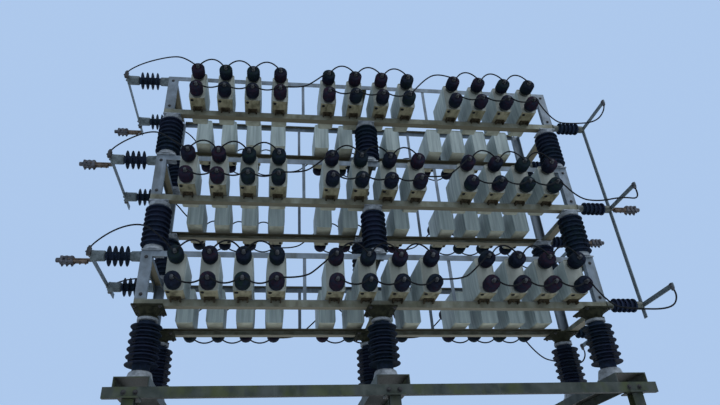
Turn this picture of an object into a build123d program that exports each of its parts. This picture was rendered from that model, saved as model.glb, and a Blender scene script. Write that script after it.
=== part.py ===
from build123d import *
from math import atan2, cos, degrees, pi, radians, tan
import os

# Outdoor capacitor bank: three racks of cans, one above the other, on post insulators
# and a steel stand. Millimetres. X runs along the bank, -Y is the front, Z is up.

# Racks
frame_length = 3920
frame_depth = 740
frame_height = 480
tier_pitch = 970
tier_names = ["lower", "middle", "upper"]
beam_d = 60
beam_h = 60
member_w = 75
member_h = 40
rail_w = 40
rail_h = 50
steel_t = 5
post_w = 90
post_d = 40
tie_w = 28
tie_t = 5

# Cans, lying on their narrow side with both bushings outwards
unit_pitch = 260
can_end_gap = 322
units_per_group = 4
group_count = 3
can_w = 150
can_length = 385
can_h = 310
can_overhang = 175

# Bushings
bushing_spacing = 217
bushing_r = 63
bushing_body_l = 92
bushing_neck_r = 36
bushing_neck_l = 42
bushing_sides = 6

# Sheds of every porcelain post
shed_start = 0.5
shed_blend = 4

# Jumper leads
lead_r = 7
lead_offset = 14
lead_bend = 0.45
upper_rise = 92
lower_sag = 68
bus_lead_rises = [150, 115, 100]
end_lead_sags = [275, 240, 345]

# Post insulators between the racks
stack_inset = 60
tier_pad_w = 160
tier_pad_t = 12
tier_shed_count = 5
tier_shed_r = 112
tier_core_r = 84
tier_cap_r = 78
tier_cap_h = 42
tier_sides = 8

# Larger post insulators under the lowest rack, and their adapters
base_stack_end = 115
base_insulator_h = 508
base_shed_count = 6
base_shed_rise = 0.45
base_shed_r = 126
base_core_r = 72
base_cone_r = 112
base_cone_top_r = 84
base_cone_h = 140
base_cone_rim = 16
base_cap_r = 82
base_cap_h = 26
base_sides = 10
adapter_h = 84
adapter_plate_w = 240
adapter_plate_t = 12
adapter_neck_r = 60
adapter_top_r = 105

# Stand
column_h = 2560
column_w = 80
column_web_t = 6
column_flange_t = 8
foot_w = 260
foot_t = 16
cap_w = 140
cap_t = 10
gusset_w = 80
gusset_h = 120
gusset_t = 8
anchor_hole_r = 11
anchor_spacing = 200
base_beam_length = 4060
base_beam_h = 75
base_beam_w = 40
base_depth = 1140
cross_w = 245
cross_h = 70
cross_t = 7
brace_leg = 50
brace_t = 5
brace_low = 330
brace_high = 2280
brace_gap = 70

# Left-hand bus bars on horizontal insulators
bus_z = 450
bus_inset = 50
bus_root_l = 90
bus_shed_l = 195
bus_cap_l = 115
bus_fitting_r = 46
bus_core_r = 36
bus_shed_r = 82
bus_shed_count = 4
bus_shed_rise = 0.3
bus_sides = 8
bus_bar_t = 8
bus_bar_h = 45
bus_front_reach = 85
bus_rear_reach = 220

# Right-hand insulators, upright neutral bars and the arms that reach forward
neutral_z = 40
neutral_inset = 30
neutral_root_l = 60
neutral_shed_l = 215
neutral_cap_l = 60
neutral_fitting_r = 40
neutral_core_r = 36
neutral_shed_r = 60
neutral_shed_count = 5
neutral_sides = 6
neutral_bar_w = 40
neutral_bar_t = 8
neutral_bar_drop = 110
arm_reach = 430
arm_h = 40
arm_t = 8

# Clamps for the incoming and outgoing lines
clamp_pad_l = 170
clamp_pad_h = 50
clamp_pad_t = 14
clamp_l = 125
clamp_r = 26
clamp_bore_r = 11
clamp_setback = 90
clamp_end_gap = 25

# Places that follow from the sizes above
half_length = frame_length / 2
half_depth = frame_depth / 2
bus_x = half_length + bus_root_l + bus_shed_l + bus_cap_l
neutral_x = half_length + neutral_root_l + neutral_shed_l + neutral_cap_l
clamp_reach = clamp_pad_l + clamp_l
left_reach = bus_x + bus_bar_t + clamp_reach
right_reach = neutral_x + neutral_bar_t + clamp_reach
bank_x = (left_reach - right_reach) / 2
beam_top = column_h + base_beam_h
cross_top = beam_top + cross_h
adapter_z = cross_top + base_insulator_h
tier_zs = [adapter_z + adapter_h + tier * tier_pitch for tier in range(len(tier_names))]
tier_gap = tier_pitch - frame_height
can_z = beam_h
bushing_length = bushing_neck_l + bushing_body_l
bushing_low = can_z + (can_h - bushing_spacing) / 2
bushing_high = bushing_low + bushing_spacing
can_face = half_depth + can_overhang
terminal_y = can_face + bushing_length + lead_r
bus_y = half_depth - bus_inset
neutral_y = half_depth - neutral_inset
column_y = (base_depth - base_beam_w) / 2
stack_y = half_depth - stack_inset
base_stack_x = half_length - base_stack_end
tier_stack_x = half_length - tier_pad_w / 2
base_points = [
    (bank_x + x, y) for y in (-stack_y, stack_y) for x in (-base_stack_x, 0, base_stack_x)
]
tier_points = [
    (bank_x + x, y) for y in (-stack_y, stack_y) for x in (-tier_stack_x, 0, tier_stack_x)
]
group_span = half_length - can_end_gap - (units_per_group - 1) / 2 * unit_pitch
unit_xs = [
    bank_x + (group - (group_count - 1) / 2) * group_span
    + (unit - (units_per_group - 1) / 2) * unit_pitch
    for group in range(group_count)
    for unit in range(units_per_group)
]

os.makedirs("parts", exist_ok=True)


def save(part, name):
    """Label a finished piece and write it."""
    part.label = name
    export_step(part, f"parts/{name}.step")


def save_copies(part, places, name):
    """Write one piece that holds a copy of the part at each place."""
    with BuildPart() as copies:
        with Locations(*places):
            add(part)
    save(copies.part, name)


def channel_profile(width, height, wall):
    """Channel with its web at the bottom and its toes up, centred on the width."""
    half = width / 2
    Polygon(
        (-half, 0), (half, 0), (half, height), (half - wall, height), (half - wall, wall),
        (wall - half, wall), (wall - half, height), (-half, height), align=None,
    )


def angle_profile(width, height, wall):
    """Angle with its corner at the origin and its legs along +x and +y."""
    Polygon(
        (0, 0), (width, 0), (width, wall), (wall, wall), (wall, height), (0, height),
        align=None,
    )


def frustum(low, low_r, high, high_r, sides):
    """Upright frustum with flat sides, from one height and corner radius to another."""
    shrink = (low_r - high_r) * cos(pi / sides)
    with BuildPart() as body:
        with BuildSketch(Plane.XY.offset(low)):
            RegularPolygon(low_r, sides)
        extrude(amount=high - low, taper=degrees(atan2(shrink, high - low)))
    return body.part


def shedded_post(low, high, core_r, shed_r, shed_count, shed_rise, sides):
    """Porcelain post whose sheds slope up from their rims over a share of their pitch."""
    pitch = (high - low) / shed_count
    blend_r = core_r + shed_blend if shed_rise == 1 else core_r - shed_blend
    with BuildPart() as post:
        with BuildSketch(Plane.XY.offset(low)):
            RegularPolygon(core_r, sides)
        extrude(amount=high - low)
        for shed in range(shed_count):
            rim = low + pitch * (shed + shed_start * (1 - shed_rise))
            add(frustum(rim, shed_r, rim + pitch * shed_rise, blend_r, sides))
    return post.part


# Stand: six columns, each with a foot plate, gussets and a cap plate
def columns():
    with BuildPart() as post:
        with BuildSketch(Plane.XY):
            Rectangle(foot_w, foot_w)
            with GridLocations(anchor_spacing, 0, 2, 1):
                Circle(anchor_hole_r, mode=Mode.SUBTRACT)
        extrude(amount=foot_t)
        with BuildSketch(Plane.XY.offset(foot_t)):
            with GridLocations(0, column_w - column_flange_t, 1, 2):
                Rectangle(column_w, column_flange_t)
            Rectangle(column_web_t, column_w)
        extrude(amount=column_h - foot_t - cap_t)
        with BuildSketch(Plane.XY.offset(column_h - cap_t)):
            Rectangle(cap_w, cap_w)
        extrude(amount=cap_t)
        for side in (-1, 1):
            with BuildSketch(Plane.YZ):
                Polygon(
                    (side * column_w / 2, foot_t),
                    (side * (column_w / 2 + gusset_w), foot_t),
                    (side * column_w / 2, foot_t + gusset_h), align=None,
                )
            extrude(amount=gusset_t / 2, both=True)
    for row, name in ((-1, "front_columns"), (1, "rear_columns")):
        places = [(bank_x + x, row * column_y) for x in (-base_stack_x, 0, base_stack_x)]
        save_copies(post.part, places, name)


# Two crossing angles at each pair of columns, one on each side of the pair
def side_braces():
    with BuildPart() as braces:
        for x in (-base_stack_x, 0, base_stack_x):
            for side in (-1, 1):
                start = Vector(bank_x + x + side * column_w / 2, -side * column_y, brace_low)
                run = Vector(0, 2 * side * column_y, brace_high - brace_low)
                with BuildSketch(Plane(origin=start, x_dir=(side, 0, 0), z_dir=run)):
                    angle_profile(brace_leg, brace_leg, brace_t)
                extrude(amount=run.length)
    save(braces.part, "side_braces")


# One angle in each long bay, on the columns' outer faces
def long_braces():
    with BuildPart() as braces:
        for row in (-1, 1):
            for bay in (-1, 1):
                start = Vector(bank_x + bay * base_stack_x, row * (column_y + column_w / 2), brace_low)
                run = Vector(-bay * (base_stack_x - brace_gap), 0, brace_high - brace_low)
                with BuildSketch(Plane(origin=start, x_dir=(0, row, 0), z_dir=run)):
                    angle_profile(brace_leg, brace_leg, brace_t)
                extrude(amount=run.length)
    save(braces.part, "long_braces")


# A channel along the front and the rear, and three wide channels laid across them
def base():
    beam_x = bank_x - base_beam_length / 2
    with BuildPart() as beams:
        for row in (-1, 1):
            plane = Plane(
                origin=(beam_x, row * base_depth / 2, column_h + base_beam_h / 2),
                x_dir=(0, 0, row),
                z_dir=(1, 0, 0),
            )
            with BuildSketch(plane):
                channel_profile(base_beam_h, base_beam_w, steel_t)
            extrude(amount=base_beam_length)
    save(beams.part, "base_beams")
    with BuildPart() as channels:
        for x in (-base_stack_x, 0, base_stack_x):
            corner = (bank_x + x, -base_depth / 2, cross_top)
            with BuildSketch(Plane(origin=corner, x_dir=(1, 0, 0), z_dir=(0, 1, 0))):
                channel_profile(cross_w, cross_h, cross_t)
            extrude(amount=base_depth)
    save(channels.part, "cross_channels")


# Six large insulators with cone-shaped feet, and the adapters above them
def base_insulators():
    cone_z = cross_top + base_cone_h
    cap_z = adapter_z - base_cap_h
    porcelain = shedded_post(
        cone_z, cap_z, base_core_r, base_shed_r, base_shed_count, base_shed_rise, base_sides
    )
    save_copies(porcelain, base_points, "base_insulators")
    with BuildPart() as fittings:
        rim_z = cross_top + base_cone_rim
        add(frustum(cross_top, base_cone_r, rim_z, base_cone_r, base_sides))
        add(frustum(rim_z, base_cone_r, cone_z, base_cone_top_r, base_sides))
        add(frustum(cap_z, base_cap_r, adapter_z, base_cap_r, base_sides))
    save_copies(fittings.part, base_points, "base_insulator_fittings")
    plate_z = tier_zs[0] - adapter_plate_t
    neck_z = adapter_z + adapter_plate_t
    with BuildPart() as adapter:
        add(frustum(adapter_z, base_cap_r, neck_z, base_cap_r, tier_sides))
        add(frustum(neck_z, adapter_neck_r, plate_z, adapter_top_r, tier_sides))
        with BuildSketch(Plane.XY.offset(plate_z)):
            Rectangle(adapter_plate_w, adapter_plate_w)
        extrude(amount=adapter_plate_t)
    save_copies(adapter.part, base_points, "adapters")


# Insulators between two racks, with a round cap and a square pad at each end
def tier_insulators(level):
    low = tier_zs[level] + frame_height
    high = low + tier_gap
    end = tier_pad_t + tier_cap_h
    name = tier_names[level + 1]
    porcelain = shedded_post(
        low + end, high - end, tier_core_r, tier_shed_r, tier_shed_count, 1, tier_sides
    )
    save_copies(porcelain, tier_points, f"{name}_insulators")
    with BuildPart() as fittings:
        for pad_z, cap_z in ((low, low + tier_pad_t), (high - tier_pad_t, high - end)):
            with BuildSketch(Plane.XY.offset(pad_z)):
                Rectangle(tier_pad_w, tier_pad_w)
            extrude(amount=tier_pad_t)
            with BuildSketch(Plane.XY.offset(cap_z)):
                RegularPolygon(tier_cap_r, tier_sides)
            extrude(amount=tier_cap_h)
    save_copies(fittings.part, tier_points, f"{name}_insulator_fittings")


# Rack corner posts, long beams and rails
def rack_sides(level):
    name = tier_names[level]
    z = tier_zs[level]
    inner_length = frame_length - 2 * post_w
    start_x = bank_x - inner_length / 2
    with BuildPart() as posts:
        for row in (-1, 1):
            for end in (-1, 1):
                corner = (bank_x + end * (half_length - post_w / 2), row * half_depth, z)
                with BuildSketch(Plane(origin=corner, x_dir=(-row, 0, 0), z_dir=(0, 0, 1))):
                    channel_profile(post_w, post_d, steel_t)
                extrude(amount=frame_height)
    save(posts.part, f"{name}_posts")
    with BuildPart() as rails:
        for row in (-1, 1):
            middle = (start_x, row * half_depth, z + beam_h / 2)
            with BuildSketch(Plane(origin=middle, x_dir=(0, 0, row), z_dir=(1, 0, 0))):
                channel_profile(beam_h, beam_d, steel_t)
            extrude(amount=inner_length)
            corner = (start_x, row * half_depth, z + frame_height)
            with BuildSketch(Plane(origin=corner, x_dir=(0, 1, 0), z_dir=(1, 0, 0))):
                Polygon(
                    (0, 0), (-row * rail_w, 0), (-row * rail_w, -steel_t),
                    (-row * steel_t, -steel_t), (-row * steel_t, -rail_h), (0, -rail_h),
                    align=None,
                )
            extrude(amount=inner_length)
    save(rails.part, f"{name}_rails")


# Members across the rack at its ends and its middle, and thin upright ties
def rack_members(level):
    name = tier_names[level]
    z = tier_zs[level]
    end_x = half_length - member_w / 2
    end_reach = half_depth - post_d
    with BuildPart() as members:
        for x in (-end_x, 0, end_x):
            low_reach = end_reach if x else half_depth - beam_d
            high_reach = end_reach if x else half_depth - rail_w
            corner = (bank_x + x, -low_reach, z)
            with BuildSketch(Plane(origin=corner, x_dir=(-1, 0, 0), z_dir=(0, 1, 0))):
                channel_profile(member_w, member_h, steel_t)
            extrude(amount=2 * low_reach)
            corner = (bank_x + x, -high_reach, z + frame_height)
            with BuildSketch(Plane(origin=corner, x_dir=(1, 0, 0), z_dir=(0, 1, 0))):
                channel_profile(member_w, member_h, steel_t)
            extrude(amount=2 * high_reach)
    save(members.part, f"{name}_cross_members")
    tie_y = half_depth - steel_t - tie_t / 2
    with BuildPart() as ties:
        with BuildSketch(Plane.XY.offset(z + beam_h)):
            with Locations((bank_x, 0)):
                with GridLocations(group_span, 2 * tie_y, 2, 2):
                    Rectangle(tie_w, tie_t)
        extrude(amount=frame_height - beam_h - steel_t)
    save(ties.part, f"{name}_ties")


# Cans of one rack
def cans(level):
    places = [
        (x, row * (can_face - can_length / 2), tier_zs[level] + can_z)
        for row in (-1, 1)
        for x in unit_xs
    ]
    with BuildPart() as can:
        with BuildSketch(Plane.XY):
            Rectangle(can_w, can_length)
        extrude(amount=can_h)
    save_copies(can.part, places, f"{tier_names[level]}_cans")


# Two bushings on each can's outer face
def bushings(level):
    with BuildPart() as bushing:
        add(frustum(0, bushing_neck_r, bushing_neck_l, bushing_neck_r, bushing_sides))
        add(frustum(bushing_neck_l, bushing_r, bushing_length, bushing_r, bushing_sides))
    places = [
        Location((x, row * can_face, tier_zs[level] + height), (-90 * row, 0, 0))
        for row in (-1, 1)
        for x in unit_xs
        for height in (bushing_low, bushing_high)
    ]
    save_copies(bushing.part, places, f"{tier_names[level]}_bushings")


def lead(points):
    """Lead along straight runs joined by tangent arcs, and the radii of those arcs."""
    route = [Vector(*point) for point in points]
    runs = [end - start for start, end in zip(route, route[1:])]
    radii = [
        lead_bend * min(before.length, after.length) / tan(radians(before.get_angle(after)) / 2)
        for before, after in zip(runs, runs[1:])
    ]
    with BuildPart() as tube:
        with BuildLine() as path:
            FilletPolyline(*route, radius=radii)
        with BuildSketch(Plane(origin=route[0], x_dir=(0, 1, 0), z_dir=runs[0])):
            Polygon((lead_r, -lead_r), (lead_r, lead_r), (-lead_r, 0), align=None)
        sweep(path=path.wires()[0])
    return tube.part, radii


def jumper_routes(level):
    """Routes in the terminals' plane: arches, sags, and the links between groups."""
    low = tier_zs[level] + bushing_low
    high = tier_zs[level] + bushing_high
    routes = []
    for unit, (x0, x1) in enumerate(zip(unit_xs, unit_xs[1:])):
        start = x0 + lead_offset
        end = x1 - lead_offset
        if (unit + 1) % units_per_group:
            middle = (x0 + x1) / 2
            routes.append([(start, high), (middle, high + upper_rise), (end, high)])
            routes.append([(start, low), (middle, low - lower_sag), (end, low)])
        elif unit > len(unit_xs) / 2 and level == len(tier_names) - 1:
            routes.append([(start, low), (start + 150, low + 200), (end - 130, high + 60), (end, high)])
        else:
            routes.append([(start, low), (start + 190, low - 8), (end - 120, low + 95), (end, high)])
    return [[(x, -terminal_y, z) for x, z in route] for route in routes]


# Leads of one rack, front and rear, with those to the bus bar and to the neutral arm
def leads(level):
    z = tier_zs[level]
    low = z + bushing_low
    high = z + bushing_high
    bar_top = z + bus_z + bus_bar_h / 2
    bar_x = bank_x - bus_x - bus_bar_t / 2
    bar_y = -(bus_y + bus_front_reach) + lead_r * 2
    bar_rise = bus_lead_rises[level]
    end_sag = end_lead_sags[level]
    arm_y = -(neutral_y + arm_reach)
    first = unit_xs[0] - lead_offset
    last = unit_xs[-1] + lead_offset
    tip_x = bank_x + neutral_x + neutral_bar_t / 2
    routes = jumper_routes(level)
    routes.append(
        [
            (bar_x, bar_y, bar_top),
            (bar_x, bar_y, bar_top + 40),
            (bar_x + 200, bar_y - 90, bar_top + bar_rise),
            (bar_x + 420, bar_y - 190, bar_top + bar_rise),
            (first - 130, -terminal_y, high + bar_rise),
            (first, -terminal_y, high),
        ]
    )
    routes.append(
        [
            (last, -terminal_y, low),
            (last + 90, -terminal_y, low - end_sag + 70),
            (last + 300, -terminal_y - 30, low - end_sag),
            (tip_x - 100, arm_y, low - end_sag + 20),
            (tip_x, arm_y, z + neutral_z - arm_h / 2 - 70),
            (tip_x, arm_y, z + neutral_z - arm_h / 2),
        ]
    )
    smallest = terminal_y
    with BuildPart() as wires:
        for route in routes:
            tube, radii = lead(route)
            add(tube)
            smallest = min([smallest] + radii)
        mirror(about=Plane.XZ)
    print(f"{tier_names[level]} leads: {2 * len(routes)}, smallest arc {smallest:.0f} mm")
    save(wires.part, f"{tier_names[level]}_leads")


# Left end: two horizontal insulators at each rack, and the bar across them
def bus_bars():
    far = bus_root_l + bus_shed_l
    porcelain = shedded_post(
        bus_root_l, far, bus_core_r, bus_shed_r, bus_shed_count, bus_shed_rise, bus_sides
    )
    with BuildPart() as fittings:
        for start, length in ((0, bus_root_l), (far, bus_cap_l)):
            with BuildSketch(Plane.XY.offset(start)):
                RegularPolygon(bus_fitting_r, bus_sides)
            extrude(amount=length)
    places = [
        Location((bank_x - half_length, row * bus_y, z + bus_z), (0, -90, 0))
        for z in tier_zs
        for row in (-1, 1)
    ]
    save_copies(porcelain, places, "bus_insulators")
    save_copies(fittings.part, places, "bus_insulator_fittings")
    bar_l = 2 * bus_y + bus_front_reach + bus_rear_reach
    with BuildPart() as bar:
        with BuildSketch(Plane.XY.offset(bus_z - bus_bar_h / 2)):
            with Locations((bank_x - bus_x - bus_bar_t / 2, (bus_rear_reach - bus_front_reach) / 2)):
                Rectangle(bus_bar_t, bar_l)
        extrude(amount=bus_bar_h)
    save_copies(bar.part, [(0, 0, z) for z in tier_zs], "bus_bars")


# Right end: an insulator at each rack corner, with upright bars and reaching arms
def neutral_side():
    far = neutral_root_l + neutral_shed_l
    porcelain = shedded_post(
        neutral_root_l, far, neutral_core_r, neutral_shed_r, neutral_shed_count, 1, neutral_sides
    )
    with BuildPart() as fittings:
        for start, length in ((0, neutral_root_l), (far, neutral_cap_l)):
            with BuildSketch(Plane.XY.offset(start)):
                RegularPolygon(neutral_fitting_r, neutral_sides)
            extrude(amount=length)
    places = [
        Location((bank_x + half_length, row * neutral_y, z + neutral_z), (0, 90, 0))
        for z in tier_zs
        for row in (-1, 1)
    ]
    save_copies(porcelain, places, "neutral_insulators")
    save_copies(fittings.part, places, "neutral_insulator_fittings")
    bar_x = bank_x + neutral_x + neutral_bar_t / 2
    bar_low = tier_zs[0] + neutral_z - neutral_bar_drop
    bar_high = tier_zs[-1] + neutral_z + neutral_bar_w / 2
    with BuildPart() as bars:
        with BuildSketch(Plane.XY.offset(bar_low)):
            with Locations((bar_x, -neutral_y), (bar_x, neutral_y)):
                Rectangle(neutral_bar_t, neutral_bar_w)
        extrude(amount=bar_high - bar_low)
    save(bars.part, "neutral_bars")
    arm_y = neutral_y + neutral_bar_w / 2 + arm_reach / 2
    with BuildPart() as arms:
        for z in tier_zs:
            with BuildSketch(Plane.XY.offset(z + neutral_z - arm_h / 2)):
                with Locations((bar_x, -arm_y), (bar_x, arm_y)):
                    Rectangle(arm_t, arm_reach)
            extrude(amount=arm_h)
    save(arms.part, "neutral_arms")


# Line clamps: a flat pad on the bar, and a six-sided barrel bored for the conductor
def line_clamps():
    with BuildPart() as clamp:
        with BuildSketch(Plane.YZ):
            Rectangle(clamp_pad_t, clamp_pad_h)
        extrude(amount=clamp_pad_l)
        with BuildSketch(Plane.YZ.offset(clamp_pad_l)):
            RegularPolygon(clamp_r, 6)
            Circle(clamp_bore_r, mode=Mode.SUBTRACT)
        extrude(amount=clamp_l)
    left = bank_x - bus_x - bus_bar_t
    right = bank_x + neutral_x + neutral_bar_t
    front_y = clamp_setback - bus_y
    rear_y = bus_y + bus_rear_reach - clamp_end_gap
    places = [
        Location((left, y, z + bus_z), (0, 0, 180))
        for z, y in zip(tier_zs, (front_y, front_y, rear_y))
    ]
    places += [Location((right, row * neutral_y, tier_zs[1] + neutral_z)) for row in (-1, 1)]
    save_copies(clamp.part, places, "line_clamps")


columns()
side_braces()
long_braces()
base()
base_insulators()
for level in range(len(tier_names)):
    rack_sides(level)
    rack_members(level)
    cans(level)
    bushings(level)
    leads(level)
for level in range(len(tier_names) - 1):
    tier_insulators(level)
bus_bars()
neutral_side()
line_clamps()
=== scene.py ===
import math

import bpy
from mathutils import Matrix, Vector


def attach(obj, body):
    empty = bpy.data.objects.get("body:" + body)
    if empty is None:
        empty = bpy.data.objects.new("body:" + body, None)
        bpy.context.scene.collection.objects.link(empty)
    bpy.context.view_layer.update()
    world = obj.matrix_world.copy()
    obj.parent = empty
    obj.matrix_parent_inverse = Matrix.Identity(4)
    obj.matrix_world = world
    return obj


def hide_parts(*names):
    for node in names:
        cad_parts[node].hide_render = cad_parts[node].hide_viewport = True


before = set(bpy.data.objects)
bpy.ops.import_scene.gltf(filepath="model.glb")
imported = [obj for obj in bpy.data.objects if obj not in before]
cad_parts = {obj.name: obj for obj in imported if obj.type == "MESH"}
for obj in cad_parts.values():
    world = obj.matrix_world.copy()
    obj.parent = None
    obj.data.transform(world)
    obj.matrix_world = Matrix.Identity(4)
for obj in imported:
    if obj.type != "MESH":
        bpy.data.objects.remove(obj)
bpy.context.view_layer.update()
scene = bpy.context.scene
scene.view_settings.view_transform = "Standard"

# Places and sizes of the bank, in metres
bank_x = 0.0325
tier_names = ["lower", "middle", "upper"]
tier_zs = [3.297, 4.267, 5.237]
rack_height = 0.48
rack_end = 1.96
rack_face = 0.37
group_count = 3
units_per_group = 4
group_pitch = 1.248
unit_pitch = 0.26
unit_xs = [
    bank_x
    + (group - (group_count - 1) / 2) * group_pitch
    + (unit - (units_per_group - 1) / 2) * unit_pitch
    for group in range(group_count)
    for unit in range(units_per_group)
]
can_size = (0.15, 0.385, 0.31)
can_z = 0.06
can_face = 0.545
bushing_low = 0.1065
bushing_high = 0.3235
terminal_y = 0.704
lead_y = 0.686
stack_y = 0.31
base_stack_x = 1.845
tier_stack_x = 1.88
base_xs = [bank_x - base_stack_x, bank_x, bank_x + base_stack_x]
tier_xs = [bank_x - tier_stack_x, bank_x, bank_x + tier_stack_x]
base_half_depth = 0.57
base_beam_z = 2.56
base_beam_height = 0.075
cross_top = 2.705
adapter_z = 3.213
adapter_plate = 0.012
bus_z = 0.45
bus_y = 0.32
bus_reach = 0.4
neutral_z = 0.04
neutral_y = 0.34
neutral_reach = 0.335
arm_reach = 0.43
bar_thickness = 0.008
bus_bar_height = 0.045
bus_front_reach = 0.085
bar_end_inset = 0.014
clamp_ys = [-0.23, -0.23, 0.515]
bus_root = bank_x - rack_end
neutral_root = bank_x + rack_end
bar_x = bus_root - bus_reach - bar_thickness / 2
tip_x = neutral_root + neutral_reach + bar_thickness / 2
bar_end_y = bus_y + bus_front_reach - bar_end_inset
arm_tip_y = neutral_y + arm_reach
bus_rises = [0.15, 0.115, 0.1]
end_sags = [0.275, 0.24, 0.345]
# How far each point between a lead's ends moves along x and z, to hang closer to the photograph
bus_shifts = [
    [(0, 0), (0, 0), (0, 0)],
    [(-0.022, -0.004), (-0.010, 0.015), (0, -0.016)],
    [(-0.008, -0.017), (0.049, -0.018), (0.031, 0.001)],
]
end_shifts = [
    [(0.024, 0), (0.002, 0.032), (0.035, -0.009), (0.027, 0.013)],
    [(0.028, 0.001), (-0.002, 0.021), (-0.053, 0.023), (0.022, -0.062)],
    [(0.012, 0), (-0.006, 0.033), (-0.048, 0), (-0.005, -0.002)],
]
lead_radius = 0.0068
lead_offset = 0.014


# Camera of the main view
camera_place = (-0.8888, -4.746, 1.5837)
yaw, pitch, roll = 0.1333, 0.564, -0.0441
forward = Vector(
    (math.sin(yaw) * math.cos(pitch), math.cos(yaw) * math.cos(pitch), math.sin(pitch))
)
level_right = Vector((math.cos(yaw), -math.sin(yaw), 0))
level_up = level_right.cross(forward)
right = level_right * math.cos(roll) + level_up * math.sin(roll)
up = level_up * math.cos(roll) - level_right * math.sin(roll)
camera_data = bpy.data.cameras.new("photo_camera")
camera = bpy.data.objects.new("photo_camera", camera_data)
scene.collection.objects.link(camera)
turn = Matrix((right, up, -forward)).transposed().to_4x4()
camera.matrix_world = Matrix.Translation(camera_place) @ turn
camera_data.sensor_width = 36
camera_data.lens = 28.81
camera_data.shift_x = 0.0335
camera_data.shift_y = -0.0116
camera_data.clip_end = 200
scene.camera = camera


# Node helpers for the finishes
def new_finish(name, roughness=0.5, metallic=0.0, gloss=0.5):
    """A material with its shader, and its node tree ready for more nodes."""
    material = bpy.data.materials.new(name)
    material.use_nodes = True
    shader = material.node_tree.nodes["Principled BSDF"]
    shader.inputs["Roughness"].default_value = roughness
    shader.inputs["Metallic"].default_value = metallic
    shader.inputs["Specular IOR Level"].default_value = gloss
    return material, shader


def add_node(material, kind, **settings):
    node = material.node_tree.nodes.new(kind)
    for key, value in settings.items():
        setattr(node, key, value)
    return node


def link(material, source, target):
    material.node_tree.links.new(source, target)


def noise(material, scale, stretch=(1, 1, 1), detail=4, roughness=0.55):
    """Noise in the object's own coordinates, stretched by a scale along each axis."""
    coordinates = add_node(material, "ShaderNodeTexCoord")
    mapping = add_node(material, "ShaderNodeMapping")
    mapping.inputs["Scale"].default_value = stretch
    link(material, coordinates.outputs["Object"], mapping.inputs["Vector"])
    node = add_node(material, "ShaderNodeTexNoise")
    node.inputs["Scale"].default_value = scale
    node.inputs["Detail"].default_value = detail
    node.inputs["Roughness"].default_value = roughness
    link(material, mapping.outputs["Vector"], node.inputs["Vector"])
    return node.outputs["Fac"]


def ramp(material, source, stops):
    """Colour ramp over the source: a list of (position, colour)."""
    node = add_node(material, "ShaderNodeValToRGB")
    elements = node.color_ramp.elements
    while len(elements) < len(stops):
        elements.new(0.5)
    for element, (position, color) in zip(elements, stops):
        element.position = position
        element.color = (*color, 1)
    link(material, source, node.inputs["Fac"])
    return node.outputs["Color"]


def share_of(material, source, low, high):
    """The source's range from low to high, as 0 to 1."""
    node = add_node(material, "ShaderNodeMapRange")
    node.inputs["From Min"].default_value = low
    node.inputs["From Max"].default_value = high
    link(material, source, node.inputs["Value"])
    return node.outputs["Result"]


def multiply(material, one, other):
    node = add_node(material, "ShaderNodeMath", operation="MULTIPLY")
    link(material, one, node.inputs[0])
    if isinstance(other, (int, float)):
        node.inputs[1].default_value = other
    else:
        link(material, other, node.inputs[1])
    return node.outputs["Value"]


def mix_colors(material, share, first, second):
    """Mixes two colours; each is a socket or a plain colour."""
    node = add_node(material, "ShaderNodeMix", data_type="RGBA")
    link(material, share, node.inputs["Factor"])
    for value, socket in ((first, node.inputs[6]), (second, node.inputs[7])):
        if isinstance(value, tuple):
            socket.default_value = (*value, 1)
        else:
            link(material, value, socket)
    return node.outputs[2]


def facing(material, axis):
    """How far the surface faces along one axis, from -1 to 1."""
    geometry = add_node(material, "ShaderNodeNewGeometry")
    parts = add_node(material, "ShaderNodeSeparateXYZ")
    link(material, geometry.outputs["Normal"], parts.inputs["Vector"])
    return parts.outputs[axis]


def place_along(material, axis):
    coordinates = add_node(material, "ShaderNodeTexCoord")
    parts = add_node(material, "ShaderNodeSeparateXYZ")
    link(material, coordinates.outputs["Object"], parts.inputs["Vector"])
    return parts.outputs[axis]


def bumpy(material, shader, source, distance, strength=0.4):
    node = add_node(material, "ShaderNodeBump")
    node.inputs["Distance"].default_value = distance
    node.inputs["Strength"].default_value = strength
    link(material, source, node.inputs["Height"])
    link(material, node.outputs["Normal"], shader.inputs["Normal"])


# Finishes
def height_in_tier(material):
    """How high a point is above the foot of its own tier, in metres."""
    above = add_node(material, "ShaderNodeMath", operation="SUBTRACT")
    link(material, place_along(material, "Z"), above.inputs[0])
    above.inputs[1].default_value = tier_zs[0] - 0.01
    within = add_node(material, "ShaderNodeMath", operation="MODULO")
    link(material, above.outputs["Value"], within.inputs[0])
    within.inputs[1].default_value = tier_zs[1] - tier_zs[0]
    return within.outputs["Value"]


def zinc_finish(name, pale, dull, dirt_and_painted_shade, streak_share):
    """Weathered galvanised steel: blotches, pale runs and dark dirt stains."""
    material, shader = new_finish(name, roughness=0.62, metallic=0.15, gloss=0.12)
    blotches = ramp(material, noise(material, 9, detail=6), [(0.35, dull), (0.68, pale)])
    runs = share_of(material, noise(material, 14, (1, 1, 0.08), detail=3), 0.55, 0.72)
    lighter = tuple(value * 1.5 + 0.02 for value in pale)
    color = mix_colors(material, multiply(material, runs, streak_share), blotches, lighter)
    stains = share_of(material, noise(material, 7, (1, 1, 0.3), detail=6), 0.53, 0.70)
    color = mix_colors(material, multiply(material, stains, 0.5), color, dirt_and_painted_shade)
    return material, shader, color


def close_zinc(material, shader, color, dirt_and_painted_shade):
    """Painted shade on the undersides, then grain and bump."""
    under = share_of(material, facing(material, "Z"), -0.3, -0.9)
    patches = share_of(material, noise(material, 5, detail=5), 0.05, 0.4)
    color = mix_colors(material, multiply(material, under, patches), color, dirt_and_painted_shade)
    link(material, color, shader.inputs["Base Color"])
    grain = noise(material, 160, detail=2)
    link(material, share_of(material, grain, -0.6, 1.5), shader.inputs["Roughness"])
    bumpy(material, shader, noise(material, 40, detail=5), 0.002)
    return material


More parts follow.
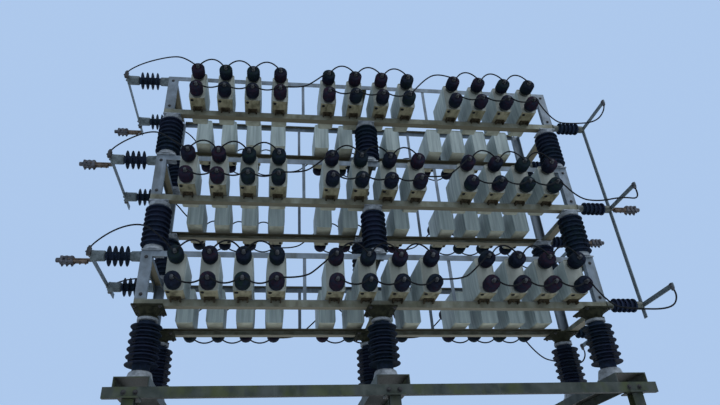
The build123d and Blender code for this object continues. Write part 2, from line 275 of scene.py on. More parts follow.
def rack_finish():
    """Blue-grey zinc whose lowest members are stained green and brown."""
    # Colour of the painted shade on the undersides.
    dirt_and_painted_shade = (0.125, 0.116, 0.080)
    material, shader, color = zinc_finish(
        "rack_zinc", (0.150, 0.190, 0.240), (0.088, 0.112, 0.138), (0.06, 0.064, 0.056), 0.35
    )
    stained = ramp(
        material, noise(material, 11, (1, 1, 0.6), detail=6),
        [(0.30, (0.066, 0.061, 0.036)), (0.48, (0.115, 0.118, 0.082)), (0.70, (0.17, 0.185, 0.155))],
    )
    low = share_of(material, height_in_tier(material), 0.085, 0.06)
    color = mix_colors(material, multiply(material, low, 0.85), color, stained)
    return close_zinc(material, shader, color, dirt_and_painted_shade)


def stand_finish():
    """Dull dark zinc with moss on it; its dark tone is partly painted shade."""
    # Colour of the painted shade on the undersides.
    dirt_and_painted_shade = (0.010, 0.012, 0.010)
    # Dark zinc colours: partly the stand's own tone, partly painted shade.
    material, shader, color = zinc_finish(
        "stand_zinc", (0.050, 0.060, 0.058), (0.022, 0.030, 0.028), (0.026, 0.030, 0.012), 0.3
    )
    moss = share_of(material, noise(material, 6, (1, 1, 0.7), detail=6), 0.50, 0.66)
    color = mix_colors(material, multiply(material, moss, 0.6), color, (0.048, 0.062, 0.022))
    return close_zinc(material, shader, color, dirt_and_painted_shade)


def can_finish():
    """Grey-green paint, paler on the inner ends, with painted sky light on the sides; underneath it is olive
    with painted shade near the beam, and tan in front, partly stain and partly painted warm light from the
    ground.
    """
    material, shader = new_finish("can_paint", roughness=0.6, gloss=0.3)
    faces = ramp(
        material, noise(material, 6, detail=6),
        [(0.3, (0.155, 0.180, 0.172)), (0.7, (0.24, 0.27, 0.26))],
    )
    runs = share_of(material, noise(material, 22, (1, 1, 0.1), detail=4), 0.50, 0.75)
    faces = mix_colors(material, multiply(material, runs, 0.5), faces, (0.07, 0.077, 0.062))
    depth = add_node(material, "ShaderNodeMath", operation="ABSOLUTE")
    link(material, place_along(material, "Y"), depth.inputs[0])
    depth = depth.outputs["Value"]
    # Pale blue-grey streaks, used on the inner ends and as painted sky light on the sides.
    pale_streaks_and_sky_light = ramp(
        material, noise(material, 30, (1, 1, 0.06), detail=4),
        [(0.35, (0.185, 0.24, 0.255)), (0.65, (0.31, 0.385, 0.405))],
    )
    inner = share_of(material, depth, 0.30, 0.17)
    faces = mix_colors(material, inner, faces, pale_streaks_and_sky_light)
    # Faces turned along x take the pale blue-grey: painted sky light on the can sides.
    sides = add_node(material, "ShaderNodeMath", operation="ABSOLUTE")
    link(material, facing(material, "X"), sides.inputs[0])
    painted_sky_light_sides = share_of(material, sides.outputs["Value"], 0.25, 0.9)
    faces = mix_colors(material, multiply(material, painted_sky_light_sides, 0.9), faces, pale_streaks_and_sky_light)
    # Tan for the front of the underside: partly stain, partly painted warm light bounced from the ground.
    tan = ramp(
        material, noise(material, 26, (1, 0.45, 1), detail=6),
        [(0.30, (0.050, 0.046, 0.026)), (0.47, (0.150, 0.144, 0.090)), (0.66, (0.235, 0.222, 0.150))],
    )
    olive = ramp(
        material, noise(material, 12, detail=4),
        [(0.3, (0.22, 0.235, 0.185)), (0.7, (0.38, 0.40, 0.33))],
    )
    # Painted shade on the underside, darker towards the beam.
    painted_shade_near_beam = share_of(material, depth, 0.20, 0.34)
    olive = mix_colors(material, multiply(material, painted_shade_near_beam, 0.8), olive, (0.085, 0.068, 0.05))
    front = share_of(material, depth, 0.36, 0.44)
    under = mix_colors(material, front, olive, tan)
    share = share_of(material, facing(material, "Z"), -0.35, -0.8)
    color = mix_colors(material, share, faces, under)
    link(material, color, shader.inputs["Base Color"])
    bumpy(material, shader, noise(material, 18, detail=4), 0.003)
    return material


def glaze_finish(name, dark, dust, dust_share, tint_stops, roughness=0.45):
    """Dark porcelain or rubber with dust lying on what faces up."""
    material, shader = new_finish(name, roughness=roughness, gloss=0.006)
    lighter = tuple(value * 1.7 for value in dark)
    glaze = ramp(material, noise(material, 25, detail=3), [(0.3, dark), (0.75, lighter)])
    tints = ramp(material, noise(material, 2.6, detail=1), tint_stops)
    tinted = share_of(material, noise(material, 48, detail=2), 0.35, 0.65)
    glaze = mix_colors(material, tinted, glaze, tints)
    lying = share_of(material, facing(material, "Z"), 0.1, 0.9)
    patches = share_of(material, noise(material, 30, detail=5), 0.3, 0.75)
    share = multiply(material, multiply(material, lying, patches), dust_share)
    link(material, mix_colors(material, share, glaze, dust), shader.inputs["Base Color"])
    bumpy(material, shader, noise(material, 60, detail=2), 0.0006)
    return material


def cast_finish(name, pale, dark, metallic=0.2, roughness=0.6, gloss=0.2):
    """Cast or rolled metal with soft blotches and a fine grain."""
    material, shader = new_finish(name, roughness=roughness, metallic=metallic, gloss=gloss)
    color = ramp(material, noise(material, 28, detail=6), [(0.3, dark), (0.65, pale)])
    link(material, color, shader.inputs["Base Color"])
    bumpy(material, shader, noise(material, 220, detail=3), 0.0008)
    return material


rack_zinc = rack_finish()
stand_zinc = stand_finish()
can_paint = can_finish()
stack_tints = [(0.35, (0.0070, 0.0145, 0.0165)), (0.65, (0.0125, 0.0150, 0.0330))]
stack_glaze = glaze_finish(
    "stack_glaze", (0.0095, 0.0160, 0.0330), (0.03, 0.034, 0.042), 0.3, stack_tints
)
boot_tints = [
    (0.36, (0.0080, 0.0165, 0.0150)), (0.48, (0.0040, 0.0060, 0.0120)),
    (0.62, (0.0180, 0.0090, 0.0170)),
]
boot_rubber = glaze_finish(
    "boot_rubber", (0.0060, 0.0090, 0.0170), (0.045, 0.05, 0.05), 0.4, boot_tints, 0.5
)
cap_metal = cast_finish("cap_metal", (0.225, 0.260, 0.305), (0.10, 0.12, 0.14))
bus_metal = cast_finish("bus_metal", (0.105, 0.135, 0.155), (0.042, 0.058, 0.066))
neck_metal = cast_finish("neck_metal", (0.10, 0.115, 0.11), (0.035, 0.04, 0.036))
adapter_iron = cast_finish("adapter_iron", (0.024, 0.026, 0.017), (0.006, 0.0075, 0.006), 0.0, 0.8, 0.05)
terminal_metal = cast_finish("terminal_metal", (0.060, 0.066, 0.074), (0.014, 0.016, 0.019), 0.3, 0.5)
bar_metal = cast_finish("bar_metal", (0.115, 0.15, 0.175), (0.055, 0.075, 0.088), 0.3, 0.5)
rusty_metal = cast_finish("rusty_metal", (0.108, 0.086, 0.070), (0.026, 0.021, 0.019), 0.1, 0.7)
foot_metal = cast_finish("foot_metal", (0.042, 0.033, 0.019), (0.009, 0.008, 0.005), 0.1, 0.7)
barrel_metal = cast_finish("barrel_metal", (0.075, 0.08, 0.095), (0.016, 0.018, 0.024), 0.3, 0.55)
bolt_steel = cast_finish("bolt_steel", (0.045, 0.047, 0.050), (0.012, 0.012, 0.013), 0.3, 0.55)
sheath = cast_finish("lead_sheath", (0.007, 0.009, 0.012), (0.003, 0.004, 0.005), 0.0, 0.7, 0.08)


# Ways of making pieces
def deselect_all():
    bpy.ops.object.select_all(action="DESELECT")


def turned(name, profile, sides, smooth=38):
    """A round piece about z, drawn up ring by ring through (height, radius) pairs."""
    deselect_all()
    height, radius = profile[0]
    bpy.ops.mesh.primitive_circle_add(
        vertices=sides, radius=radius, fill_type="NGON", location=(0, 0, 0)
    )
    piece = bpy.context.object
    piece.name = name
    bpy.ops.object.mode_set(mode="EDIT")
    bpy.ops.mesh.select_all(action="SELECT")
    bpy.ops.transform.translate(value=(0, 0, height))
    for next_height, next_radius in profile[1:]:
        bpy.ops.mesh.extrude_region_move(
            TRANSFORM_OT_translate={"value": (0, 0, next_height - height)}
        )
        share = next_radius / radius
        bpy.ops.transform.resize(value=(share, share, 1), center_override=(0, 0, next_height))
        height, radius = next_height, next_radius
    bpy.ops.mesh.select_all(action="SELECT")
    bpy.ops.mesh.normals_make_consistent(inside=False)
    bpy.ops.object.mode_set(mode="OBJECT")
    bpy.ops.object.shade_smooth_by_angle(angle=math.radians(smooth))
    return piece


def block(name, size, center, edge=0.0):
    """A box of the given size, its edges rounded off."""
    deselect_all()
    bpy.ops.mesh.primitive_cube_add(size=1, location=center)
    piece = bpy.context.object
    piece.name = name
    piece.scale = size
    bpy.ops.object.transform_apply(location=True, rotation=True, scale=True)
    if edge:
        bpy.ops.object.mode_set(mode="EDIT")
        bpy.ops.mesh.select_all(action="SELECT")
        bpy.ops.mesh.bevel(offset=edge, segments=2, affect="EDGES")
        bpy.ops.object.mode_set(mode="OBJECT")
    return piece


def bolt(radius, head, place):
    """A hexagonal head on a washer, pointing up until its place turns it."""
    washer = turned("washer", [(0, radius * 1.5), (head * 0.3, radius * 1.5)], 12)
    hexagon = turned("head", [(head * 0.3, radius), (head * 1.2, radius), (head * 1.3, radius * 0.85)], 6, 20)
    stub = turned("stub", [(head * 1.3, radius * 0.5), (head * 1.7, radius * 0.45)], 8)
    piece = join("bolt", [washer, hexagon, stub])
    deselect_all()
    piece.select_set(True)
    bpy.context.view_layer.objects.active = piece
    piece.matrix_world = place
    bpy.ops.object.transform_apply(location=True, rotation=True, scale=True)
    return piece


def join(name, parts):
    """Joins the parts into one piece at the origin."""
    deselect_all()
    for part in parts:
        part.select_set(True)
    bpy.context.view_layer.objects.active = parts[0]
    if len(parts) > 1:
        bpy.ops.object.join()
    piece = bpy.context.object
    piece.name = name
    piece.data.name = name
    bpy.ops.object.transform_apply(location=True, rotation=True, scale=True)
    return piece


def repeated(name, model, places):
    """A copy of the model at each place, joined into one piece; the model goes."""
    parts = []
    for place in places:
        part = model.copy()
        part.data = model.data.copy()
        scene.collection.objects.link(part)
        part.matrix_world = place @ model.matrix_world
        parts.append(part)
    bpy.data.objects.remove(model)
    return join(name, parts)


def fit(piece, material, slot, *nodes):
    """Gives a piece its finish, lets it ride, and lets it stand for its CAD nodes."""
    piece.data.materials.clear()
    piece.data.materials.append(material)
    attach(piece, "root")
    if nodes:
        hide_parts(*nodes)


def at(x, y, z, turn=None):
    place = Matrix.Translation((x, y, z))
    return place @ turn if turn else place


to_front = Matrix.Rotation(math.radians(90), 4, "X")
to_rear = Matrix.Rotation(math.radians(-90), 4, "X")
to_left = Matrix.Rotation(math.radians(-90), 4, "Y")
to_right = Matrix.Rotation(math.radians(90), 4, "Y")
downwards = Matrix.Rotation(math.radians(180), 4, "X")
half_turn = Matrix.Rotation(math.radians(180), 4, "Z")
rows = ((-1, to_front), (1, to_rear))


# Cans: rounded long edges, bulging sides and a seam round each end
def select_faces(piece, wanted):
    bpy.ops.object.mode_set(mode="EDIT")
    bpy.ops.mesh.select_mode(type="FACE")
    bpy.ops.mesh.select_all(action="DESELECT")
    bpy.ops.object.mode_set(mode="OBJECT")
    for face in piece.data.polygons:
        face.select = wanted(face)
    bpy.ops.object.mode_set(mode="EDIT")


def one_can():
    deselect_all()
    bpy.ops.mesh.primitive_cube_add(size=1, location=(0, 0, 0))
    can = bpy.context.object
    can.scale = can_size
    bpy.ops.object.transform_apply(location=False, rotation=False, scale=True)
    bpy.ops.object.mode_set(mode="EDIT")
    bpy.ops.mesh.select_mode(type="EDGE")
    bpy.ops.mesh.select_all(action="DESELECT")
    bpy.ops.object.mode_set(mode="OBJECT")
    for edge in can.data.edges:
        one, other = (can.data.vertices[i].co for i in edge.vertices)
        edge.select = abs(one.y - other.y) > 0.1
    bpy.ops.object.mode_set(mode="EDIT")
    bpy.ops.mesh.bevel(offset=0.02, segments=4, affect="EDGES")
    select_faces(can, lambda face: abs(face.normal.y) > 0.9)
    bpy.ops.mesh.inset(thickness=0.005, use_even_offset=True, use_individual=True)
    bpy.ops.mesh.inset(thickness=0.003, use_even_offset=True, use_individual=True)
    bpy.ops.transform.resize(value=(1, 0.982, 1), center_override=(0, 0, 0))
    select_faces(can, lambda face: abs(face.normal.x) > 0.99 and face.area > 0.05)
    bpy.ops.mesh.inset(thickness=0.025, use_even_offset=True, use_individual=True)
    bpy.ops.transform.resize(value=(1.02, 1, 1), center_override=(0, 0, 0))
    bpy.ops.mesh.inset(thickness=0.035, use_even_offset=True, use_individual=True)
    bpy.ops.transform.resize(value=(1.05, 1, 1), center_override=(0, 0, 0))
    bpy.ops.mesh.inset(thickness=0.035, use_even_offset=True, use_individual=True)
    bpy.ops.transform.resize(value=(1.03, 1, 1), center_override=(0, 0, 0))
    bpy.ops.object.mode_set(mode="OBJECT")
    bpy.ops.object.shade_smooth_by_angle(angle=math.radians(35))
    return can


def one_foot():
    """The bracket that holds a can to the beam: a lug, a plate and its bolt."""
    lug = block("lug", (0.086, 0.052, 0.010), (0, 0.027, -0.005), 0.002)
    cheek = block("cheek", (0.012, 0.046, 0.026), (-0.037, 0.024, -0.020), 0.002)
    other = block("cheek", (0.012, 0.046, 0.026), (0.037, 0.024, -0.020), 0.002)
    pin = bolt(0.010, 0.008, at(0, 0.028, -0.010, downwards))
    return join("foot", [lug, cheek, other, pin])


def can_places(z, y, height):
    """A place at each can, turned to face its own row's side."""
    return [
        at(x, row * y, z + height, half_turn if row > 0 else None) for row in (-1, 1) for x in unit_xs
    ]


foot_reach = 0.056
hole_shade_x = -0.047
hole_shade_setback = 0.034
for name, z in zip(tier_names, tier_zs):
    middle = can_places(z, can_face - can_size[1] / 2, can_z + can_size[2] / 2)
    fit(repeated(f"{name}_can_bodies", one_can(), middle), can_paint, "can_paint", f"{name}_cans")
    feet = repeated(f"{name}_can_feet", one_foot(), can_places(z, rack_face + foot_reach, can_z))
    fit(feet, foot_metal, "insulator_metal")
    # A near-black disc under each can: painted shade standing for the inside of a lug hole.
    hole_shade_disc = turned("hole_shade_disc", [(-0.006, 0.013), (-0.001, 0.016), (0.001, 0.016)], 10)
    hole_shade_discs = repeated(f"{name}_can_hole_shade_discs", hole_shade_disc, [
        place @ at(hole_shade_x, 0, 0) for place in can_places(z, can_face - hole_shade_setback, can_z)
    ])
    fit(hole_shade_discs, sheath, "insulator_metal")


# Bushings: a metal neck, a fluted rubber boot, and the terminal on its end
neck_profile = [(0.0, 0.048), (0.006, 0.048), (0.008, 0.038), (0.042, 0.038)]
boot_profile = [
    (0.030, 0.048), (0.032, 0.062), (0.040, 0.068), (0.080, 0.069), (0.120, 0.068),
    (0.131, 0.064), (0.134, 0.056), (0.134, 0.030), (0.129, 0.026),
]
boot_sides = 16
flute_low = 0.035
flute_high = 0.125
flute_share = 0.91
stud_profile = [
    (0.128, 0.017), (0.138, 0.017), (0.140, 0.009), (0.152, 0.009), (0.153, 0.014),
    (0.163, 0.014), (0.165, 0.006), (0.170, 0.006),
]


def fluted_boot():
    """The boot, its flutes pressed in between ribs that run along it."""
    boot = turned("boot", boot_profile, boot_sides, 50)
    for corner in boot.data.vertices:
        angle = math.degrees(math.atan2(corner.co.y, corner.co.x))
        side = round(angle * boot_sides / 360)
        corner.select = flute_low < corner.co.z < flute_high and side % 2 == 0
    bpy.ops.object.mode_set(mode="EDIT")
    bpy.ops.mesh.select_mode(type="VERT")
    bpy.ops.transform.resize(value=(flute_share, flute_share, 1), center_override=(0, 0, 0))
    bpy.ops.object.mode_set(mode="OBJECT")
    return boot


def bushing_places(z):
    return [
        at(x, row * can_face, z + height, turn)
        for row, turn in rows
        for x in unit_xs
        for height in (bushing_low, bushing_high)
    ]


for name, z in zip(tier_names, tier_zs):
    boots = repeated(f"{name}_bushing_boots", fluted_boot(), bushing_places(z))
    fit(boots, boot_rubber, "bushing_porcelain", f"{name}_bushings")
    necks = repeated(f"{name}_bushing_necks", turned("neck", neck_profile, 12), bushing_places(z))
    fit(necks, neck_metal, "insulator_metal")
    studs = repeated(f"{name}_terminal_studs", turned("stud", stud_profile, 8, 20), bushing_places(z))
    fit(studs, terminal_metal, "insulator_metal")


# Leads: smooth curves drawn from the points of their CAD routes, some of them shifted a little
def new_leads(name):
    curve = bpy.data.curves.new(name, "CURVE")
    curve.dimensions = "3D"
    curve.bevel_depth = lead_radius
    curve.bevel_resolution = 1
    curve.resolution_u = 6
    curve.use_fill_caps = True
    piece = bpy.data.objects.new(name, curve)
    scene.collection.objects.link(piece)
    return piece


def add_lead(piece, points):
    spline = piece.data.splines.new("NURBS")
    spline.points.add(len(points) - 1)
    for point, place in zip(spline.points, points):
        point.co = (*place, 1)
    spline.order_u = 3
    spline.use_endpoint_u = True


def jumper_routes(z, top_tier):
    low = z + bushing_low
    high = z + bushing_high
    arch_lean = 0.056
    arch_rise = 0.088
    sag_lean = 0.055
    sag_drop = 0.052
    routes = []
    for unit, (x0, x1) in enumerate(zip(unit_xs, unit_xs[1:])):
        start = x0 + lead_offset
        end = x1 - lead_offset
        if (unit + 1) % units_per_group:
            arch = high + arch_rise
            sag = low - sag_drop
            routes.append([(start, high), (start + arch_lean, arch), (end - arch_lean, arch), (end, high)])
            routes.append([(start, low), (start + sag_lean, sag), (end - sag_lean, sag), (end, low)])
        elif unit > units_per_group and top_tier:
            routes.append([
                (start, low), (start + 0.15, low + 0.2), (end - 0.13, high + 0.06), (end, high),
            ])
        else:
            routes.append([
                (start, low), (start + 0.19, low - 0.008), (end - 0.12, low + 0.095), (end, high),
            ])
    return [[(x, -terminal_y, height) for x, height in route] for route in routes]


def shifted(points, shifts):
    return [(x + across, y, z + rise) for (x, y, z), (across, rise) in zip(points, shifts)]


def end_routes(level, z):
    """The routes to the bus bar and to the neutral arm."""
    bus_rise = bus_rises[level]
    end_sag = end_sags[level]
    low = z + bushing_low
    high = z + bushing_high
    bar_top = z + bus_z + bus_bar_height / 2
    bar_y = -bar_end_y
    first = unit_xs[0] - lead_offset
    last = unit_xs[-1] + lead_offset
    tip_z = z + neutral_z - 0.02
    arm_y = -arm_tip_y
    to_bus = [
        (bar_x + 0.2, bar_y - 0.09, bar_top + bus_rise),
        (bar_x + 0.42, bar_y - 0.19, bar_top + bus_rise),
        (first - 0.13, -lead_y, high + bus_rise),
    ]
    to_arm = [
        (last + 0.09, -lead_y, low - end_sag + 0.07),
        (last + 0.3, -lead_y - 0.03, low - end_sag),
        (tip_x - 0.1, arm_y, low - end_sag + 0.02),
        (tip_x, arm_y, tip_z - 0.07),
    ]
    return [
        [(bar_x, bar_y, bar_top), (bar_x, bar_y, bar_top + 0.04)]
        + shifted(to_bus, bus_shifts[level])
        + [(first, -terminal_y, high)],
        [(last, -terminal_y, low)] + shifted(to_arm, end_shifts[level]) + [(tip_x, arm_y, tip_z)],
    ]


for level, (name, z) in enumerate(zip(tier_names, tier_zs)):
    leads = new_leads(f"{name}_black_leads")
    for route in jumper_routes(z, name == "upper") + end_routes(level, z):
        add_lead(leads, route)
        add_lead(leads, [(x, -y, height) for x, y, height in route])
    fit(leads, sheath, "lead_sheath", f"{name}_leads")


# Stack insulators
rim_round = 0.002
core_blend = 0.004


def shed(height, core, rim, thickness, slope):
    """Profile of one shed: a hollow underside, a thin rim and a sloping top."""
    drop = height - slope * 0.45
    return [
        (height, core),
        (height - slope * 0.25, core + (rim - core) * 0.5),
        (drop, rim - rim_round),
        (drop + thickness * 0.5, rim),
        (drop + thickness, rim - rim_round),
        (height + thickness + slope * 0.5, core + core_blend),
    ]


def disc_profile(low, high, core, rim, count, thickness, slope):
    """A post from low to high with sheds of one size at an even pitch."""
    points = [(low, core)]
    pitch = (high - low) / count
    for rank in range(count):
        points += shed(low + pitch * (rank + 0.5), core, rim, thickness, slope)
    return points + [(high, core)]


base_foot_top = cross_top + 0.095
base_cap_low = adapter_z - 0.026
base_core = 0.064
base_shed_count = 6
base_first_shed = cross_top + 0.150
base_shed_pitch = 0.0585
base_wide_rim = 0.125
base_narrow_rim = 0.103
base_narrow_rise = 0.029


def base_profile():
    """Wide sheds, a little smaller one by one, with a narrow shed between each two."""
    points = [(base_foot_top, base_core)]
    for rank in range(base_shed_count):
        height = base_first_shed + rank * base_shed_pitch
        points += shed(height, base_core, base_wide_rim - rank * 0.001, 0.007, 0.012)
        if rank < base_shed_count - 1:
            points += shed(height + base_narrow_rise, base_core, base_narrow_rim, 0.006, 0.008)
    return points + [(base_cap_low, base_core)]


def up_stacks(xs, z=0.0):
    return [at(x, y, z) for y in (-stack_y, stack_y) for x in xs]


base_foot = turned("foot", [
    (cross_top, 0.112), (cross_top + 0.014, 0.112), (cross_top + 0.018, 0.104),
    (cross_top + 0.04, 0.098), (cross_top + 0.086, 0.086), (base_foot_top, 0.076),
], 32)
base_cap = turned("cap", [
    (base_cap_low, 0.070), (adapter_z - 0.022, 0.080), (adapter_z - 0.004, 0.081),
    (adapter_z, 0.078),
], 32)
base_sheds = repeated("base_porcelain", turned("post", base_profile(), 36), up_stacks(base_xs))
fit(base_sheds, stack_glaze, "porcelain", "base_insulators")
foot_and_cap = join("foot_and_cap", [base_foot, base_cap])
base_metal = repeated("base_feet_and_caps", foot_and_cap, up_stacks(base_xs))
fit(base_metal, cap_metal, "insulator_metal", "base_insulator_fittings")
plate_under = tier_zs[0] - adapter_plate
adapter_bolt_reaches = (-0.098, 0.098)
four_bolts = join("bolts", [
    bolt(0.011, 0.009, at(x, y, plate_under, downwards))
    for x in adapter_bolt_reaches
    for y in adapter_bolt_reaches
])
adapter_bolts = repeated("adapter_bolts", four_bolts, up_stacks(base_xs))
fit(adapter_bolts, bolt_steel, "insulator_metal")

tier_core = 0.078
tier_rim = 0.112
tier_shed_count = 8
tier_end = 0.054
pad_height = 0.012

for level, name in enumerate(tier_names[1:]):
    low = tier_zs[level] + rack_height
    high = tier_zs[level + 1]
    sheds = disc_profile(
        low + tier_end, high - tier_end, tier_core, tier_rim, tier_shed_count, 0.009, 0.012
    )
    porcelain = repeated(f"{name}_porcelain", turned("post", sheds, 36), up_stacks(tier_xs))
    fit(porcelain, stack_glaze, "porcelain", f"{name}_insulators")
    fitting = join("fitting", [
        turned("foot", [
            (low + pad_height, 0.092), (low + 0.022, 0.090), (low + 0.044, 0.082),
            (low + tier_end, 0.080),
        ], 28),
        turned("cap", [
            (high - tier_end, 0.080), (high - 0.048, 0.088), (high - 0.018, 0.092),
            (high - pad_height, 0.088),
        ], 28),
        block("pad", (0.16, 0.16, pad_height), (0, 0, low + pad_height / 2), 0.002),
        block("pad", (0.16, 0.16, pad_height), (0, 0, high - pad_height / 2), 0.002),
    ])
    fittings = repeated(f"{name}_feet_and_caps", fitting, up_stacks(tier_xs))
    fit(fittings, cap_metal, "insulator_metal", f"{name}_insulator_fittings")


# Level insulators at both ends
bus_sheds_low = 0.09
bus_sheds_high = 0.285
bus_core = 0.034
bus_rim = 0.086
bus_shed_count = 4
bus_places = [at(bus_root, row * bus_y, z + bus_z, to_left) for z in tier_zs for row in (-1, 1)]
bus_sheds = disc_profile(
    bus_sheds_low, bus_sheds_high, bus_core, bus_rim, bus_shed_count, 0.003, 0.003
)
bus_post = turned("post", bus_sheds, 28)
fit(repeated("bus_porcelain", bus_post, bus_places), stack_glaze, "porcelain", "bus_insulators")
bus_fitting = join("caps", [
    turned("root", [
        (0, 0.047), (0.012, 0.047), (0.016, 0.044), (0.078, 0.043), (0.085, 0.038),
        (bus_sheds_low, bus_core),
    ], 24),
    turned("tip", [
        (bus_sheds_high, bus_core), (0.290, 0.041), (0.298, 0.045), (0.386, 0.046),
        (0.388, 0.049), (bus_reach, 0.049),
    ], 24),
])
bus_caps = repeated("bus_caps", bus_fitting, bus_places)
fit(bus_caps, bus_metal, "insulator_metal", "bus_insulator_fittings")

neutral_sheds_low = 0.06
neutral_sheds_high = 0.275
neutral_core = 0.036
neutral_rim = 0.060
neutral_shed_count = 5
neutral_places = [
    at(neutral_root, row * neutral_y, z + neutral_z, to_right) for z in tier_zs for row in (-1, 1)
]
neutral_sheds = disc_profile(
    neutral_sheds_low, neutral_sheds_high, neutral_core, neutral_rim, neutral_shed_count, 0.014,
    0.012,
)
neutral_posts = repeated("neutral_porcelain", turned("post", neutral_sheds, 24), neutral_places)
fit(neutral_posts, stack_glaze, "porcelain", "neutral_insulators")
neutral_fitting = join("caps", [
    turned("root", [(0, 0.040), (0.01, 0.040), (0.014, 0.034), (neutral_sheds_low, 0.032)], 20),
    turned("tip", [
        (neutral_sheds_high, 0.032), (0.285, 0.036), (0.325, 0.036), (neutral_reach, 0.030),
    ], 20),
])
neutral_caps = repeated("neutral_caps", neutral_fitting, neutral_places)
fit(neutral_caps, neck_metal, "insulator_metal", "neutral_insulator_fittings")


# End clamps, and the small clamps that hold the leads' ends
def line_clamp():
    """A flat pad with a keeper under it, and bolts below and on top."""
    pad = block("pad", (0.20, 0.05, 0.012), (0.10, 0, 0.004), 0.002)
    keeper = block("keeper", (0.15, 0.046, 0.016), (0.115, 0, -0.012), 0.003)
    bolts = [bolt(0.009, 0.010, at(x, 0, -0.020, downwards)) for x in (0.055, 0.10, 0.145, 0.185)]
    bolts += [bolt(0.008, 0.006, at(x, 0, 0.010)) for x in (0.055, 0.10, 0.145)]
    return join("clamp", [pad, keeper] + bolts)


def line_grip():
    """Two jaws bolted together at three ears, round an open sleeve."""
    jaw_size = (0.112, 0.052, 0.028)
    jaw_x = 0.206
    jaw_z = 0.017
    ear_xs = (jaw_x - 0.04, jaw_x, jaw_x + 0.04)
    pin_ys = (-0.022, 0.022)
    upper = block("jaw", jaw_size, (jaw_x, 0, jaw_z), 0.007)
    lower = block("jaw", jaw_size, (jaw_x, 0, -jaw_z), 0.007)
    ears = [block("ear", (0.022, 0.066, 0.060), (x, 0, 0), 0.004) for x in ear_xs]
    sleeve = turned("sleeve", [
        (0.240, 0.020), (0.292, 0.020), (0.295, 0.017), (0.295, 0.011), (0.264, 0.011),
    ], 16)
    sleeve.matrix_world = to_right
    pins = [bolt(0.008, 0.010, at(x, y, -0.030, downwards)) for x in ear_xs for y in pin_ys]
    return join("grip", [upper, lower, sleeve] + ears + pins)


clamp_left = bus_root - bus_reach - bar_thickness
clamp_right = neutral_root + neutral_reach + bar_thickness
clamp_places = [at(clamp_left, y, z + bus_z, half_turn) for z, y in zip(tier_zs, clamp_ys)]
clamp_places += [at(clamp_right, row * neutral_y, tier_zs[1] + neutral_z) for row in (-1, 1)]
fit(repeated("clamp_pads", line_clamp(), clamp_places), rusty_metal, "arm_metal", "line_clamps")
fit(repeated("clamp_grips", line_grip(), clamp_places), barrel_metal, "arm_metal")


def lead_clamp(width, height):
    """A small jaw with a collar where the lead comes out, and its pin."""
    top = height / 2
    jaw = block("jaw", (width, 0.030, height), (0, 0, 0), 0.004)
    collar = turned("collar", [(top - 0.002, 0.015), (top + 0.014, 0.013), (top + 0.018, 0.009)], 10)
    pin = bolt(0.008, 0.007, at(-width / 2, 0, 0, to_left))
    return join("jaw", [jaw, collar, pin])


clamp_lift = 0.004
bar_ends = [
    at(bar_x, row * bar_end_y, z + bus_z + clamp_lift) for z in tier_zs for row in (-1, 1)
]
fit(repeated("bus_lead_clamps", lead_clamp(0.034, 0.070), bar_ends), bolt_steel, "insulator_metal")
arm_tips = [
    at(tip_x, row * arm_tip_y, z + neutral_z, downwards) for z in tier_zs for row in (-1, 1)
]
fit(repeated("arm_lead_clamps", lead_clamp(0.024, 0.044), arm_tips), barrel_metal, "arm_metal")


# Bolts on the racks' corners, the bars and the stand
def fit_bolts(name, radius, head, places):
    fit(repeated(name, bolt(radius, head, at(0, 0, 0)), places), bolt_steel, "insulator_metal")


corner_inset = 0.045
corner_heights = (0.1, 0.425)
fit_bolts("corner_bolts", 0.010, 0.007, [
    at(bank_x + end * (rack_end - corner_inset), row * rack_face, z + height, turn)
    for z in tier_zs
    for row, turn in rows
    for end in (-1, 1)
    for height in corner_heights
])
bar_bolts = [at(clamp_left, row * bus_y, z + bus_z, to_left) for z in tier_zs for row in (-1, 1)]
bar_bolts += [
    at(clamp_right, row * neutral_y, z + neutral_z, to_right)
    for z in (tier_zs[0], tier_zs[2])
    for row in (-1, 1)
]
fit_bolts("bar_bolts", 0.012, 0.010, bar_bolts)
stand_bolt_z = base_beam_z + base_beam_height / 2
stand_bolt_reaches = (-0.04, 0.04)
fit_bolts("stand_bolts", 0.012, 0.010, [
    at(x + across, row * base_half_depth, stand_bolt_z, turn)
    for row, turn in rows
    for x in base_xs
    for across in stand_bolt_reaches
])


# CAD nodes that keep their shape
def dress(material, *nodes):
    for node in nodes:
        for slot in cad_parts[node].material_slots:
            slot.material = material


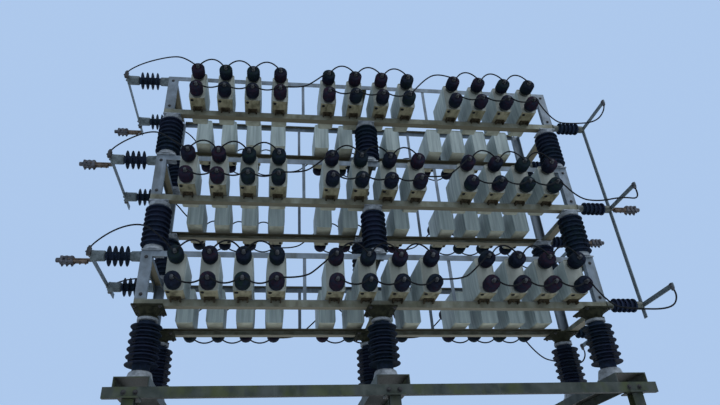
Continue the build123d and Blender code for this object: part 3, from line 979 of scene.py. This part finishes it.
for name in tier_names:
    dress(rack_zinc, f"{name}_posts", f"{name}_rails", f"{name}_cross_members", f"{name}_ties")
dress(
    stand_zinc, "front_columns", "rear_columns", "side_braces", "long_braces", "base_beams",
    "cross_channels",
)
dress(adapter_iron, "adapters")
dress(bar_metal, "bus_bars", "neutral_bars", "neutral_arms")


# Floor, sky and sun
bpy.ops.mesh.primitive_plane_add(size=60, location=(0, 0, 0))
floor = bpy.context.object
floor.name = "floor"
floor_finish, floor_shader = new_finish("pale_floor", roughness=0.9)
floor_shader.inputs["Base Color"].default_value = (0.70, 0.72, 0.74, 1)
floor.data.materials.append(floor_finish)

world = bpy.data.worlds.new("pale_sky")
world.use_nodes = True
scene.world = world
tree = world.node_tree
tree.nodes.clear()
output = tree.nodes.new("ShaderNodeOutputWorld")
blend = tree.nodes.new("ShaderNodeMixShader")
soft_light = tree.nodes.new("ShaderNodeBackground")
soft_light.inputs["Color"].default_value = (0.88, 0.94, 1.0, 1)
soft_light.inputs["Strength"].default_value = 1.0
backdrop = tree.nodes.new("ShaderNodeBackground")
backdrop.inputs["Color"].default_value = (0.42, 0.58, 0.84, 1)
backdrop.inputs["Strength"].default_value = 1.0
path = tree.nodes.new("ShaderNodeLightPath")
seen = tree.nodes.new("ShaderNodeMath")
seen.operation = "MAXIMUM"
seen_too = tree.nodes.new("ShaderNodeMath")
seen_too.operation = "MAXIMUM"
tree.links.new(path.outputs["Is Camera Ray"], seen.inputs[0])
tree.links.new(path.outputs["Is Glossy Ray"], seen.inputs[1])
tree.links.new(seen.outputs["Value"], seen_too.inputs[0])
tree.links.new(path.outputs["Is Transmission Ray"], seen_too.inputs[1])
tree.links.new(seen_too.outputs["Value"], blend.inputs["Fac"])
tree.links.new(soft_light.outputs["Background"], blend.inputs[1])
tree.links.new(backdrop.outputs["Background"], blend.inputs[2])
tree.links.new(blend.outputs["Shader"], output.inputs["Surface"])

sun_data = bpy.data.lights.new("soft_sun", "SUN")
sun_data.energy = 1.3
sun_data.angle = math.radians(25)
sun = bpy.data.objects.new("soft_sun", sun_data)
sun.rotation_euler = (math.radians(38), math.radians(18), math.radians(25))
scene.collection.objects.link(sun)
